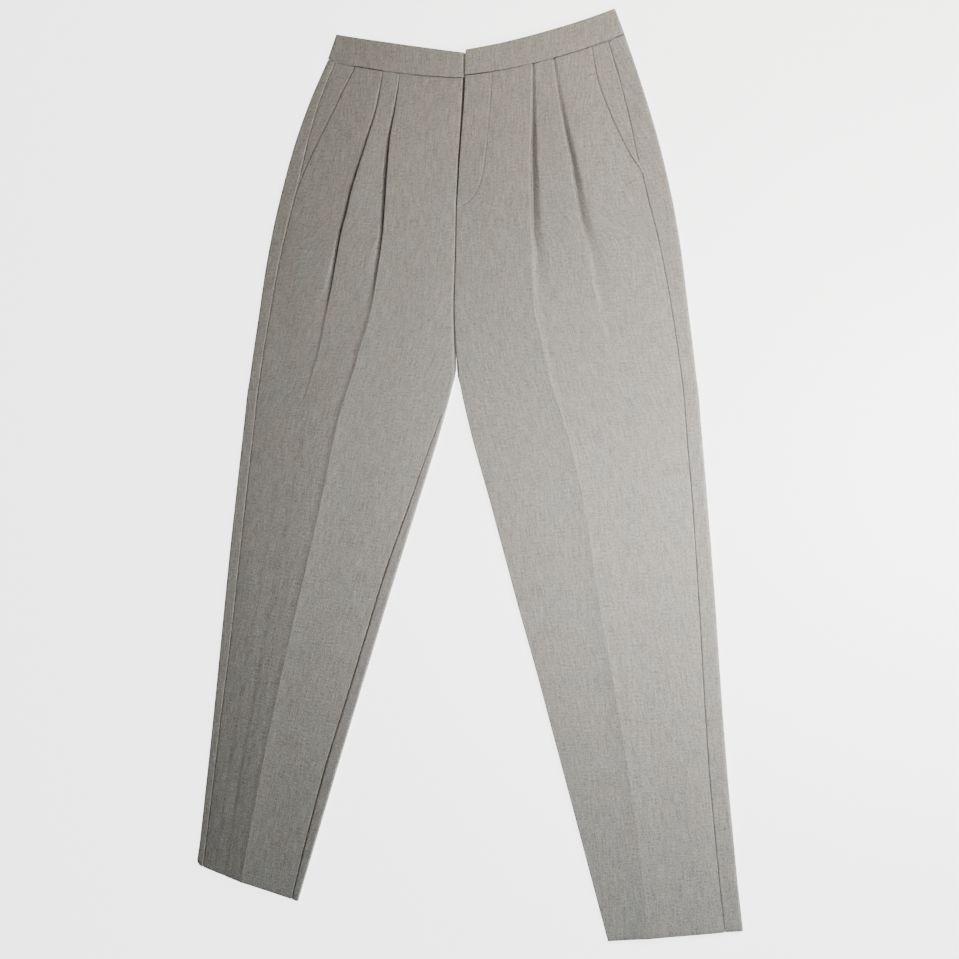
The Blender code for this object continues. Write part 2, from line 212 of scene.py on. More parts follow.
RIGHT_FIRST = [
    Pleat("waist", 5.2, 180, 12, 3.0, 0.4, 0.8, 5.0),
    Pleat("pleat top", 6.2, 180, 12, 2.4, 1.8, 1.0, 5.6),
    Pleat("pocket", 8.4, 180, 10, 1.7, 4.0, 0.9, 5.2),
    Pleat("pocket low", 9.2, 180, 8, 1.5, 5.2, 1.0, 5.2),
    Pleat("fly end", 9.5, 180, 5, 1.7, 4.4, 1.6, 5.6),
    Pleat("hip", 8.9, 90, 0, 4.6, 2.0, 7, 6.6),
    Pleat("seat", 9.0, 20, 0, 7.2, 2, 18, 6.9),
    Pleat("fork", 9.3, 21, 0, 7.5, 2, 24, 7.0),
    Pleat("thigh top", 9.6, 18, 0, 8.0, 2, 22, 7.2),
    Pleat("thigh", 9.9, 16, 0, 8.3, 2, 20, 7.4),
    Pleat("knee", 10.0, 15, 0, 8.5, 2, 14, 7.4),
    Pleat("shin", 9.4, 14, 0, 8.1, 2, 9, 7.2),
    Pleat("hem", 8.4, 13, 0, 7.5, 2, 7, 6.8),
]
RIGHT_SECOND = [
    Pleat("waist", 5.0, 180, 11, 2.8, 0.4, 0.8, 4.6),
    Pleat("pleat top", 5.8, 180, 10, 2.5, 1.4, 1.0, 5.1),
    Pleat("pocket", 7.4, 180, 8, 1.8, 2.7, 0.9, 4.7),
    Pleat("pocket low", 8.1, 180, 5, 1.6, 3.3, 1.1, 4.8),
    Pleat("fly end", 8.6, 175, 1.5, 1.7, 4.2, 1.5, 5.1),
    Pleat("hip", 7.9, 140, 0, 2.9, 3.2, 3.5, 5.7),
    Pleat("seat", 7.0, 24, 0, 5.6, 2, 12, 5.8),
    Pleat("fork", 6.6, 18, 0, 5.6, 2, 16, 5.6),
    Pleat("thigh top", 6.4, 6, 0, 6.1, 2, 14, 5.5),
    Pleat("thigh", 6.3, 3, 0, 6.1, 2, 12, 5.4),
    Pleat("knee", 6.2, 3, 0, 6.0, 2, 10, 5.2),
    Pleat("shin", 6.0, 3, 0, 5.8, 2, 7, 5.0),
    Pleat("hem", 5.7, 3, 0, 5.5, 2, 5, 4.8),
]
CRISPNESS = {1: 1.9, -1: 1.0}  # how hard each leg is pressed
CREST_SHARE = 0.4  # of a pleat's drop that its upper bend takes
CREST_RADIUS = 0.95  # at most: a pressed edge is tight

# Soft creases: where, which way (degrees from the leg's length), how long, wide and high.
Crease = namedtuple("Crease", "x y way length width height")
CREASES = [
    Crease(52, 405, 6, 120, 14, 0.5),
    Crease(-46, 390, -4, 150, 16, -0.45),
    Crease(58, 230, -16, 170, 15, 0.6),
    Crease(28, 170, -30, 130, 13, -0.5),
    Crease(-40, 180, 24, 150, 15, 0.55),
    Crease(-70, 250, 10, 130, 17, -0.5),
    Crease(210, 262, 14, 110, 12, -0.5),
    Crease(-212, 270, -12, 120, 12, 0.5),
    Crease(-222, 120, -8, 160, 15, -0.5),
    Crease(226, 90, 6, 180, 16, 0.5),
    Crease(60, 40, -34, 120, 16, -0.5),
    Crease(-66, 20, 36, 130, 15, 0.5),
    Crease(120, -90, -20, 160, 18, 0.5),
    Crease(-140, -60, 18, 150, 17, -0.5),
    Crease(265, -110, 8, 170, 15, -0.45),
    Crease(-270, -130, -5, 160, 14, 0.45),
    Crease(185, -260, -24, 110, 17, -0.5),
    Crease(-176, -250, 22, 120, 15, 0.5),
    Crease(288, -330, 6, 150, 14, 0.4),
    Crease(-292, -330, -8, 140, 13, -0.4),
    Crease(216, -420, -14, 100, 15, 0.45),
    Crease(-214, -410, 16, 110, 14, -0.4),
]
CREASE_CLEAR = 18.0  # creases fade out this near an edge

ROW_STEP = 4.2
BACK_ROW_STEP = 8.0
WAIST_ROWS = (0.0, 0.35, 0.8, 1.4, 2.2, 3.4)  # rows close to the waist seam
WAIST_ROUND = 2.2  # the panels round down into the waist seam over this
WAIST_DIP = 1.2
SEAM_ROUND = 1.1  # and into their long seams over this
SEAM_DIP = 1.2
INSEAM_DIP = 0.45
OUTER_ROUND = 3.2  # of the back at the leg's outer edge
HEM_TURN_UP = 26.0
HEM_RADIUS = (WALL + GAP) / 2
CORNER = 8.0  # the right leg's outer corner is worn round
DROOP = 1.35  # how the outer facet falls to the side seam
POCKET_UNDER = 12.0  # the facing runs on under the front by this
POCKET_FLOOR = 1.6  # the facing's level there
MOUTH_DEPTH = 2.4  # and over this it comes up into the opening
STRIP_TILT = {1: 0.9, -1: 0.1}  # the back's strip leans into the side seam
CROTCH_ROUND = 26.0  # the backs lift towards the crotch over this
FACET_BEND = 11.0  # a crisp crease rises over about this width

# Points along parts of a section.
RIM_COUNTS = (9, 12, 3)  # up to the rim, round it and past it
FACET_POINTS = 35  # from the inner edge to the first pleat
BACK_POINTS = 32  # along the floor

# The band's front layer: distance from the centre front, and level.
BAND_SIDE = [(110, 5.2), (130, 4.6), (150, 4.1), (168, 3.9)]
BAND_LEFT = [(2.4, 7.0), (20, 6.6), (55, 5.6), (90, 5.5), *BAND_SIDE]
BAND_RIGHT = [(-UNDERLAP, 2.65), (1.4, 2.65), (2.2, 4.9), (20, 5.2), (55, 5.4), (90, 5.4), *BAND_SIDE]
BAND_STRAIGHTENING = {1: 2.5, -1: 4.0}  # the band's top hangs less than the seam
BAND_LIFT = 0.6  # of its lower edge above the seam's line
BAND_BEVEL = 0.5

# The fly's stitched line, from the waist seam round to the centre: real x and table y.
FLY_LINE = [(34, 461), (33, 430), (31, 392), (28.5, 362), (25, 342), (19, 327), (10, 317), (-3, 311)]
FLY_FOOT = 308.0
STRIP_END = 12.0  # the strips behind the fly end round over this
STITCH = {"Pitch": 0.0031, "Length": 0.0024, "Radius": 0.00017}  # metres
TACK_DOWN = 30.0  # the pocket's upper tack; the lower one is past its low end
TACK_PAST = 8.0

GREIGE = (0.405, 0.390, 0.366, 1.0)
TAPE_COLOUR = (0.09, 0.07, 0.055, 1.0)
FLOOR_GLOW = 3.4

Lamp = namedtuple("Lamp", "name place radius power colour")
LAMPS = [
    Lamp("key", (0.60, 0.02, 0.39), 0.05, 17.0, (1.0, 0.98, 0.945)),
    Lamp("middle", (0.18, -0.05, 0.40), 0.10, 4.9, (1.0, 0.98, 0.95)),
    Lamp("upper", (0.95, 0.75, 0.62), 0.10, 15.0, (1.0, 0.91, 0.72)),
    Lamp("crown", (0.25, 0.66, 0.38), 0.06, 3.9, (1.0, 0.91, 0.72)),
    Lamp("lower", (0.35, -0.85, 0.45), 0.10, 2.6, (0.55, 0.84, 1.0)),
]
FLOOR_HALF = 3.0
CAMERA_PLACE = (0.4842, 0.0060, 1.2882)
CAMERA_RIGHT = (0.9424, 0.0225, -0.3338)
CAMERA_UP = (-0.02385, 0.99972, 0.0)


# ---------------------------------------------------------------- sections of the cloth

def monotone(knots, values, at):
    """A smooth curve through a table's values that never overshoots them."""
    step = np.diff(knots)
    rise = np.diff(values) / step
    slope = np.zeros(len(knots))
    for i in range(1, len(knots) - 1):
        if rise[i - 1] * rise[i] > 0:
            near, far = 2 * step[i] + step[i - 1], step[i] + 2 * step[i - 1]
            slope[i] = (near + far) / (near / rise[i - 1] + far / rise[i])
    slope[0], slope[-1] = rise[0], rise[-1]
    i = np.clip(np.searchsorted(knots, at, side="right") - 1, 0, len(step) - 1)
    t = (at - knots[i]) / step[i]
    return (values[i] * (1 + 2 * t) * (1 - t) ** 2
            + slope[i] * step[i] * t * (1 - t) ** 2
            + values[i + 1] * t ** 2 * (3 - 2 * t)
            - slope[i + 1] * step[i] * t ** 2 * (1 - t))


DOWN = {row.name: OUTLINE[0].y_in + OUTLINE[0].y_out - row.y_in - row.y_out for row in OUTLINE}
DOWN = {name: twice / 2 for name, twice in DOWN.items()}  # distance from the waist seam


def read(table, at):
    """A table's rows, read smoothly at distances down the leg."""
    knots = np.array([DOWN[row.name] for row in table], float)
    columns = [monotone(knots, np.array([row[i] for row in table], float), at)
               for i in range(1, len(table[0]))]
    return [type(table[0])(None, *values) for values in zip(*columns)]


def pocket_gaps(legs):
    """How far the pocket's edge lies inside the side seam, section by section."""
    Open = namedtuple("Open", "name width")
    return [Open(leg.name, o.x_out - leg.side - leg.pocket if leg.pocket else 0.0)
            for o, leg in zip(OUTLINE, legs)]


def mix(a, b, share):
    return a + (b - a) * share


def shares(count):
    """count even steps, from just past 0 up to 1."""
    return np.linspace(0, 1, count + 1)[1:]


def ease(share):
    share = np.clip(share, 0, 1)
    return share * share * (3 - 2 * share)


def rounding(distance, width):
    """1 at an edge and 0 past its rounding, along a quarter of an ellipse."""
    share = np.clip(1 - distance / width, 0, 1)
    return 1 - np.sqrt(1 - share ** 2)


def arc(start, heading, turn, radius, count):
    """count points along an arc that leaves start; start isn't one of them."""
    signed = math.copysign(radius, turn)
    angle = heading + turn * np.arange(1, count + 1) / count
    x = start[0] + signed * (np.sin(angle) - math.sin(heading))
    z = start[1] - signed * (np.cos(angle) - math.cos(heading))
    return list(zip(x, z))


def fold(edge, pleat):
    """Over a pleat's edge, back under it and out again; a small turn makes a soft step."""
    bend = math.radians(pleat.turn)
    drop = max(pleat.crest - pleat.low, 0.05)
    both = (drop - pleat.depth * math.sin(bend)) / (1 - math.cos(bend))
    upper = min(CREST_SHARE * both, CREST_RADIUS)
    lower = both - upper
    reach = (upper + WALL / 2) * math.sin(min(bend, math.pi / 2))
    path = [(edge - reach, pleat.crest)]
    path += arc(path[-1], 0.0, -bend, upper, 8)
    x, z = path[-1]
    for share in shares(4):
        step = max(pleat.depth, 0.05) * share
        path.append((x + step * math.cos(bend), z - step * math.sin(bend)))
    path += arc(path[-1], -bend, bend, lower, 9)
    return path


def valley(start, pleat):
    """The flat run past a pleat's edge and the slope after it."""
    x, z = start
    x = max(x, 0.0)
    path = [(x + pleat.far * share, z) for share in (0.34, 0.67, 1.0)]
    x = path[-1][0]
    for share in shares(11):
        rise = 1 - (1 - share) ** 1.3 if pleat.shoulder > z else ease(share)
        path.append((x + pleat.slope * share, mix(z, pleat.shoulder, rise)))
    return path


def rim(edge, radius, travel, sink=0.0):
    """A point round the leg's inner edge; travel is 0 at the rim, positive on the front."""
    quarter = radius * math.pi / 2
    middle = edge + radius + WALL / 2
    if abs(travel) > quarter:
        up = 1 if travel > 0 else -1
        return middle + abs(travel) - quarter, FLOOR_LEVEL + radius + up * (radius - sink)
    angle = travel / radius
    reach = radius - sink
    return middle - reach * math.cos(angle), FLOOR_LEVEL + radius + reach * math.sin(angle)


def inner_edge(row, side, top):
    """A panel's first points: down into the centre seam, or round the leg to the inseam."""
    o, lie, seam = row.outline, row.lie, row.leg.inseam
    edge = o.x_in + side * o.sway
    level = lie.left if side > 0 else lie.right
    count = sum(RIM_COUNTS)
    if o.x_in < LEG_START:
        first = edge + lie.slit / 2 + (0.0 if top else GAP - lie.slit / 2)
        turn = np.linspace(0, math.pi / 2, count)
        if top:
            return list(zip(first + lie.roll * (1 - np.cos(turn)),
                            level - lie.dip * (1 - np.sin(turn))))
        lift = (lie.left + lie.right) / 4 - FLOOR_LEVEL / 2
        lift *= float(rounding(abs(DOWN["crotch"] - row.down), CROTCH_ROUND))
        lift = max(lift, 0.5)
        return list(zip(first + max(lift, 1.0) * (1 - np.cos(turn)),
                        FLOOR_LEVEL + lift * (1 - np.sin(turn))))
    radius = (level - FLOOR_LEVEL) / 2
    quarter = radius * math.pi / 2
    way = 1 if top else -1
    cut = way * seam + GAP / 2 + WALL / 2
    knots = np.array([cut, -quarter, quarter, quarter + 2.0])
    for i in range(1, 4):
        knots[i] = max(knots[i], knots[i - 1] + 0.3)
    travels = [knots[0]]
    for a, b, number in zip(knots, knots[1:], RIM_COUNTS):
        travels += list(a + (b - a) * np.arange(1, number + 1) / number)
    travels = travels[:1] + travels[2:]
    sinks = INSEAM_DIP * rounding(np.array(travels) - cut, SEAM_ROUND)
    return [rim(edge, radius, way * t, s) for t, s in zip(travels, sinks)]


def seam_edge(x, level, run):
    """The last points of a panel, rounding down into a seam at x."""
    turn = shares(6) * math.pi / 2
    return list(zip(x - run * SEAM_ROUND * (1 - np.sin(turn)),
                    level - SEAM_DIP * (1 - np.cos(turn))))


def front_section(row, side):
    o, leg, lie, first, second = row.outline, row.leg, row.lie, row.first, row.second
    path = inner_edge(row, side, True)
    pleat = fold(leg.crease, first)
    x0, z0 = path[-1]
    width = pleat[0][0] - x0
    for share in 1 - (1 - shares(FACET_POINTS + 1)[:-1]) ** 1.5:
        rise = mix(share, share ** (width / FACET_BEND), lie.crisp * CRISPNESS[side])
        path.append((x0 + width * share, mix(z0, first.crest, rise)))
    path += pleat
    path += valley((max(pleat[-1][0], leg.crease), pleat[-1][1]), first)
    pleat = fold(leg.second, second)
    x0, z0 = path[-1]
    for share in shares(14)[:-1]:
        path.append((mix(x0, pleat[0][0], share), mix(z0, second.crest, ease(share))))
    path += pleat
    path += valley((max(pleat[-1][0], leg.second), pleat[-1][1]), second)
    edge = o.x_out - leg.side - row.open_width - GAP / 2 - WALL / 2
    x0, z0 = path[-1]
    for share in shares(26):
        path.append((mix(x0, edge - SEAM_ROUND, share), mix(z0, lie.side, share ** DROOP)))
    return path + seam_edge(edge, lie.side, 1)


def back_section(row, side):
    o, leg, lie = row.outline, row.leg, row.lie
    path = inner_edge(row, side, False)
    x0 = path[-1][0]
    across_to = o.x_out - WALL / 2 - OUTER_ROUND
    for share in shares(BACK_POINTS):
        path.append((mix(x0, across_to, share), FLOOR_LEVEL))
    half = (lie.strip - FLOOR_LEVEL) / 2
    for turn in shares(14) * math.pi:
        path.append((across_to + OUTER_ROUND * math.sin(turn),
                     FLOOR_LEVEL + half * (1 - math.cos(turn))))
    edge = o.x_out - leg.side + GAP / 2 + WALL / 2
    tilt = STRIP_TILT[side]
    for share in shares(8):
        path.append((mix(across_to, edge + SEAM_ROUND, share), lie.strip - tilt * ease(share)))
    return path + seam_edge(edge, lie.strip - tilt, -1)


def facing_section(row, side):
    """The facing, which drops into the pocket right under the edge of its opening."""
    o, leg, lie = row.outline, row.leg, row.lie
    outer = o.x_out - leg.side - GAP / 2 - WALL / 2
    mouth = outer - row.open_width
    level = lie.strip - 0.5
    path = [(mouth - POCKET_UNDER * (1 - share), POCKET_FLOOR) for share in np.linspace(0, 1, 5)]
    for share in shares(8):
        path.append((mouth + MOUTH_DEPTH * share, mix(POCKET_FLOOR, level, ease(share))))
    start = path[-1][0]
    end = max(outer - SEAM_ROUND, start + 0.5)
    path += [(mix(start, end, share), level) for share in shares(8)]
    return path + seam_edge(end + SEAM_ROUND, level, 1)


Row = namedtuple("Row", "down outline leg lie first second open_width")


def rows_at(side, downs):
    legs = LEFT_LEG if side > 0 else RIGHT_LEG
    pleats = (LEFT_FIRST, LEFT_SECOND) if side > 0 else (RIGHT_FIRST, RIGHT_SECOND)
    parts = [read(table, downs) for table in (OUTLINE, legs, LIE, *pleats, pocket_gaps(legs))]
    strays = read(LEFT_STRAY if side > 0 else RIGHT_STRAY, downs)
    parts[0] = [o._replace(y_in=o.y_in + stray.y_in, y_out=o.y_out + stray.y_out,
                           sag=o.sag + stray.sag, x_out=o.x_out + stray.x_out)
                for o, stray in zip(parts[0], strays)]
    return [Row(*values[:-1], values[-1].width) for values in zip(downs, *parts)]


def across(row, x, side):
    """The y of a section where it crosses x, from the middle of the garment."""
    o = row.outline
    share = np.clip((x - o.x_in) / (o.x_out - o.x_in), 0, 1)
    y = mix(o.y_in, o.y_out, share) - 4 * o.sag * share * (1 - share) - TABLE_MIDDLE
    if side < 0:
        past = np.clip((x - o.x_out + CORNER) / CORNER, 0, 1)
        near_hem = ease(1 - (DOWN["hem"] - row.down) / (3 * CORNER))
        y = y + near_hem * CORNER * (1 - np.sqrt(1 - past ** 2))
    return y


def creases_at(x, y):
    """How far the soft creases raise or lower the cloth at each point."""
    lift = np.zeros_like(x)
    for crease in CREASES:
        way = math.radians(crease.way)
        dx, dy = x - crease.x, y - (crease.y - TABLE_MIDDLE)
        along = dx * math.sin(way) + dy * math.cos(way)
        over = dx * math.cos(way) - dy * math.sin(way)
        fade = np.cos(np.clip(along / crease.length, -1, 1) * math.pi / 2) ** 2
        bend = 0.12 * crease.length * (along / crease.length) ** 2
        lift += crease.height * fade * np.exp(-((over - bend) / crease.width) ** 2)
    return lift


def section_normals(path, outside):
    """Directions out of the cloth along a section, in x and z."""
    d = np.gradient(path, axis=0)
    d /= np.maximum(np.linalg.norm(d, axis=1, keepdims=True), 1e-9)
    return outside * np.stack([-d[:, 1], d[:, 0]], axis=1)


def turned_hem(points, normals, inner_rows):
    """Rows that turn the hem up inside the leg, after its last row."""
    rows = []
    for turn in np.radians([45, 90, 135, 180]):
        row = points - HEM_RADIUS * (1 - math.cos(turn)) * normals
        row[:, 1] -= HEM_RADIUS * math.sin(turn)
        rows.append(row)
    return rows + [row - 2 * HEM_RADIUS * normals for row in inner_rows]


def panel_grid(section, side, downs, outside, creased, hemmed, dipped):
    """Points of a panel, row by row, in millimetres at their real side."""
    count = len(downs)
    if hemmed:
        downs = np.concatenate([downs, DOWN["hem"] - HEM_TURN_UP * np.array([0.3, 0.7, 1.0])])
    grid = []
    for row in rows_at(side, downs):
        path = np.array(section(row, side))
        normals = section_normals(path, outside)
        if dipped:
            sink = WAIST_DIP * float(rounding(row.down, WAIST_ROUND))
            path = path - sink * normals * np.array([0.0, 1.0])
        y = across(row, path[:, 0], side)
        points = np.stack([path[:, 0], y, path[:, 1]], axis=1)
        if creased:
            o = row.outline
            inner = ease((path[:, 0] - o.x_in) / CREASE_CLEAR)
            outer = ease((o.x_out - row.leg.side - row.open_width - path[:, 0]) / CREASE_CLEAR)
            top = ease(row.down / (2 * CREASE_CLEAR))
            points[:, 2] += creases_at(side * points[:, 0], y) * inner * outer * top
        grid.append(points)
        if len(grid) == count:
            deep = np.stack([normals[:, 0], np.zeros(len(normals)), normals[:, 1]], axis=1)
    if hemmed:
        grid = grid[:count] + turned_hem(grid[count - 1], deep, grid[count:])
    grid = np.array(grid)
    grid[:, :, 0] *= side
    return grid


# ------------------------------------------------------------------------------- meshes

def grid_uv(grid, spine):
    """Metres of cloth across from the spine column, and along the grain."""
    across_step = np.linalg.norm(np.diff(grid, axis=1), axis=2)
    u = np.concatenate([np.zeros((len(grid), 1)), np.cumsum(across_step, axis=1)], axis=1)
    u -= u[:, spine:spine + 1]
    down_step = np.linalg.norm(np.diff(grid[:, spine], axis=0), axis=1)
    v = -np.concatenate([[0.0], np.cumsum(down_step)])
    return np.stack([u, np.broadcast_to(v[:, None], u.shape)], axis=2) * MM


def fly_line(count=240):
    """Points along the fly's line, in millimetres from the middle of the garment."""
    knots = np.array(FLY_LINE, float)
    far = np.concatenate([[0], np.cumsum(np.linalg.norm(np.diff(knots, axis=0), axis=1))])
    at = np.linspace(0, far[-1], count)
    line = np.stack([monotone(far, knots[:, i], at) for i in (0, 1)], axis=1)
    return line - (0.0, TABLE_MIDDLE)


def line_uv(name, grid):
    """Distance outside the fly's line and length along it, in metres."""
    flat = grid.reshape(-1, 3)
    uv = np.full((len(flat), 2), 0.05)
    if name.startswith("front_left"):
        line = fly_line()
        near = np.where((flat[:, 0] < 60) & (flat[:, 1] > 280) & (flat[:, 2] > 2.5))[0]
        step = np.gradient(line, axis=0)
        step /= np.linalg.norm(step, axis=1, keepdims=True)
        for i in near:
            offset = flat[i, :2] - line
            k = int(np.argmin((offset ** 2).sum(axis=1)))
            outside = -1 if step[k, 0] * offset[k, 1] - step[k, 1] * offset[k, 0] < 0 else 1
            uv[i] = (outside * np.linalg.norm(offset[k]) * MM, k * MM)
    return uv


def faces_of(grid):
    """A grid's points in metres, and the faces between them."""
    rows, columns = grid.shape[:2]
    number = np.arange(rows * columns).reshape(rows, columns)
    corners = np.stack([number[1:, :-1], number[1:, 1:], number[:-1, 1:], number[:-1, :-1]], axis=2)
    return (grid.reshape(-1, 3) * MM).tolist(), corners.reshape(-1, 4).tolist()


def grid_mesh(name, grid, uv):
    points, faces = faces_of(grid)
    mesh = bpy.data.meshes.new(name)
    mesh.from_pydata(points, [], faces)
    layer = mesh.uv_layers.new(name="cloth")
    loops = np.empty(len(mesh.loops), dtype=np.int32)
    mesh.loops.foreach_get("vertex_index", loops)
    layer.data.foreach_set("uv", uv.reshape(-1, 2)[loops].astype(np.float32).ravel())
    layer = mesh.uv_layers.new(name="fly line")
    layer.data.foreach_set("uv", line_uv(name, grid)[loops].astype(np.float32).ravel())
    mesh.shade_smooth()
    return mesh


def link(name, data, material=None):
    thing = bpy.data.objects.new(name, data)
    bpy.context.scene.collection.objects.link(thing)
    if material:
        data.materials.append(material)
    return thing


def cloth(name, grid, spine, wall, material):
    piece = link(name, grid_mesh(name, grid, grid_uv(grid, spine)), material)
    solid = piece.modifiers.new("wall", "SOLIDIFY")
    solid.thickness = wall * MM
    solid.offset = 0.0
    return piece


def section_rows(step, last="hem"):
    """Distances down the leg: close together at the waist seam, then evenly."""
    end = DOWN[last]
    count = round((end - WAIST_ROWS[-1]) / step)
    return np.concatenate([WAIST_ROWS, np.linspace(WAIST_ROWS[-1], end, count + 1)[1:]])


def make_front(side, material):
    grid = panel_grid(front_section, side, section_rows(ROW_STEP), 1, True, True, True)
    return cloth(f"front_{WORDS[side]}_cloth", grid, sum(RIM_COUNTS) + FACET_POINTS, WALL, material)


def make_back(side, material):
    grid = panel_grid(back_section, side, section_rows(BACK_ROW_STEP), -1, False, True, True)
    return cloth(f"back_{WORDS[side]}_cloth", grid, sum(RIM_COUNTS) + BACK_POINTS // 2, WALL, material)


def make_facing(side, material):
    rows = section_rows(BACK_ROW_STEP, "pocket end")
    grid = panel_grid(facing_section, side, rows, 1, False, False, True)
    return cloth(f"pocket_facing_{WORDS[side]}_cloth", grid, 0, WALL, material)


def make_band(side, material):
    """Half of the band, from the centre front round the side to the centre back."""
    row = rows_at(side, np.array([0.0]))[0]
    floor = BAND_WALL / 2
    knots = np.array(BAND_LEFT if side > 0 else BAND_RIGHT, float)
    reach = row.outline.x_out - BAND_WALL / 2
    radius = (knots[-1, 1] - floor) / 2
    if side > 0:
        x = np.linspace(knots[0, 0], knots[-1, 0], 44)
    else:
        x = np.concatenate([np.linspace(-UNDERLAP, 0.0, 8), np.linspace(1.3, 2.9, 9),
                            np.linspace(4, knots[-1, 0], 40)])
    path = list(zip(x, monotone(knots[:, 0], knots[:, 1], x)))
    turn = np.linspace(0, math.pi, 15)
    path += list(zip(reach - OUTER_ROUND * (1 - np.sin(turn)), floor + radius * (1 + np.cos(turn))))
    path += [(x, floor) for x in np.linspace(reach - OUTER_ROUND, GAP, 40)[1:]]
    path = np.array(path)
    lower = across(row, np.abs(path[:, 0]), side) + BAND_LIFT
    far = np.clip(path[:, 0] / reach, 0, 1)
    height = BAND_HEIGHT + BAND_STRAIGHTENING[side] * 4 * far * (1 - far)
    grid = []
    for share in np.linspace(0, 1, 10):
        grid.append(np.stack([path[:, 0] * mix(1, BAND_NARROWING, share) * side,
                              lower + height * share, path[:, 1]], axis=1))
    grid = np.array(grid)[::-1]
    piece = cloth(f"waistband_{WORDS[side]}_cloth", grid, 0, BAND_WALL, material)
    bevel = piece.modifiers.new("pressed edge", "BEVEL")
    bevel.width = BAND_BEVEL * MM
    bevel.segments = 3
    bevel.limit_method = "ANGLE"
    bevel.angle_limit = math.radians(50)
    return piece


def fly_strip(name, edges, level, foot, material):
    """A straight strip behind the fly, with its lower end rounded."""
    rows = []
    for row in rows_at(1, np.arange(0.8, DOWN["seat"], 6.0)):
        o = row.outline
        if o.y_in < foot + STRIP_END:
            break
        x = o.sway + np.linspace(*edges, 9)
        rows.append(np.stack([x, np.full(9, o.y_in - TABLE_MIDDLE), np.full(9, level)], axis=1))
    for turn in np.radians([20, 45, 65, 80]):
        middle, half = o.sway + sum(edges) / 2, (edges[1] - edges[0]) / 2
        x = middle + half * math.cos(turn) * np.linspace(-1, 1, 9)
        y = foot + STRIP_END * (1 - math.sin(turn)) - TABLE_MIDDLE
        rows.append(np.stack([x, np.full(9, y), np.full(9, level)], axis=1))
    return cloth(name, np.array(rows), 4, WALL, material)


# ----------------------------------------------------------------------------- stitches

def stitch_tree(material):
    """Geometry nodes that sew a thread along an edge path: a row of short stitches."""
    tree = bpy.data.node_groups.new("stitches", "GeometryNodeTree")
    tree.interface.new_socket("Geometry", in_out="INPUT", socket_type="NodeSocketGeometry")
    for label, value in STITCH.items():
        socket = tree.interface.new_socket(label, in_out="INPUT", socket_type="NodeSocketFloat")
        socket.default_value = value
    socket = tree.interface.new_socket("Seed", in_out="INPUT", socket_type="NodeSocketInt")
    socket.default_value = 7
    tree.interface.new_socket("Geometry", in_out="OUTPUT", socket_type="NodeSocketGeometry")
    node, link_up = tree.nodes.new, tree.links.new
    start, end = node("NodeGroupInput"), node("NodeGroupOutput")
    path = node("GeometryNodeMeshToCurve")
    link_up(start.outputs["Geometry"], path.inputs["Mesh"])
    even = node("GeometryNodeResampleCurve")
    even.mode = "LENGTH"
    link_up(path.outputs["Curve"], even.inputs["Curve"])
    link_up(start.outputs["Pitch"], even.inputs["Length"])
    thread = node("GeometryNodeMeshCylinder")
    thread.inputs["Vertices"].default_value = 8
    link_up(start.outputs["Radius"], thread.inputs["Radius"])
    link_up(start.outputs["Length"], thread.inputs["Depth"])
    tangent = node("GeometryNodeInputTangent")
    jitter = node("FunctionNodeRandomValue")
    jitter.data_type = "FLOAT_VECTOR"
    jitter.inputs["Min"].default_value = (-0.06, -0.06, -0.02)
    jitter.inputs["Max"].default_value = (0.06, 0.06, 0.02)
    link_up(start.outputs["Seed"], jitter.inputs["Seed"])
    uneven = node("ShaderNodeVectorMath")
    link_up(tangent.outputs[0], uneven.inputs[0])
    link_up(jitter.outputs["Value"], uneven.inputs[1])
    turn = node("FunctionNodeAlignEulerToVector")
    turn.axis = "Z"
    link_up(uneven.outputs[0], turn.inputs["Vector"])
    sown = node("GeometryNodeInstanceOnPoints")
    link_up(even.outputs["Curve"], sown.inputs["Points"])
    link_up(thread.outputs["Mesh"], sown.inputs["Instance"])
    link_up(turn.outputs["Rotation"], sown.inputs["Rotation"])
    real = node("GeometryNodeRealizeInstances")
    link_up(sown.outputs["Instances"], real.inputs["Geometry"])
    paint = node("GeometryNodeSetMaterial")
    paint.inputs["Material"].default_value = material
    link_up(real.outputs["Geometry"], paint.inputs["Geometry"])
    link_up(paint.outputs["Geometry"], end.inputs["Geometry"])
    return tree


def sew(name, paths, tree):
    """Stitches along paths of points (metres), turned into one plain mesh."""
    vertices, edges = [], []
    for path in paths:
        first = len(vertices)
        vertices += [tuple(point) for point in path]
        edges += [(first + i, first + i + 1) for i in range(len(path) - 1)]
    guide = bpy.data.meshes.new(f"{name}_guide")
    guide.from_pydata(vertices, edges, [])
    piece = link(f"{name}_guide", guide)
    modifier = piece.modifiers.new("stitches", "NODES")
    modifier.node_group = tree
    for item in tree.interface.items_tree:
        if item.in_out == "INPUT" and item.name in STITCH:
            modifier[item.identifier] = STITCH[item.name]
    graph = bpy.context.evaluated_depsgraph_get()
    mesh = bpy.data.meshes.new_from_object(piece.evaluated_get(graph))
    mesh.name = name
    bpy.data.objects.remove(piece)
    mesh.shade_smooth()
    return link(name, mesh)


def surface_of(grid):
    """A search tree over the middle of a panel's cloth, in metres."""
    return BVHTree.FromPolygons(*faces_of(grid))


def laid_on(tree, points, lift):
    """Points (millimetres, x and y) dropped onto a panel's top and raised by lift."""
    path = []
    for x, y in points:
        hit = tree.ray_cast(Vector((x * MM, y * MM, 0.1)), Vector((0, 0, -1)))[0]
        if hit is not None:
            path.append((hit.x, hit.y, hit.z + (WALL / 2 + lift) * MM))
    return path


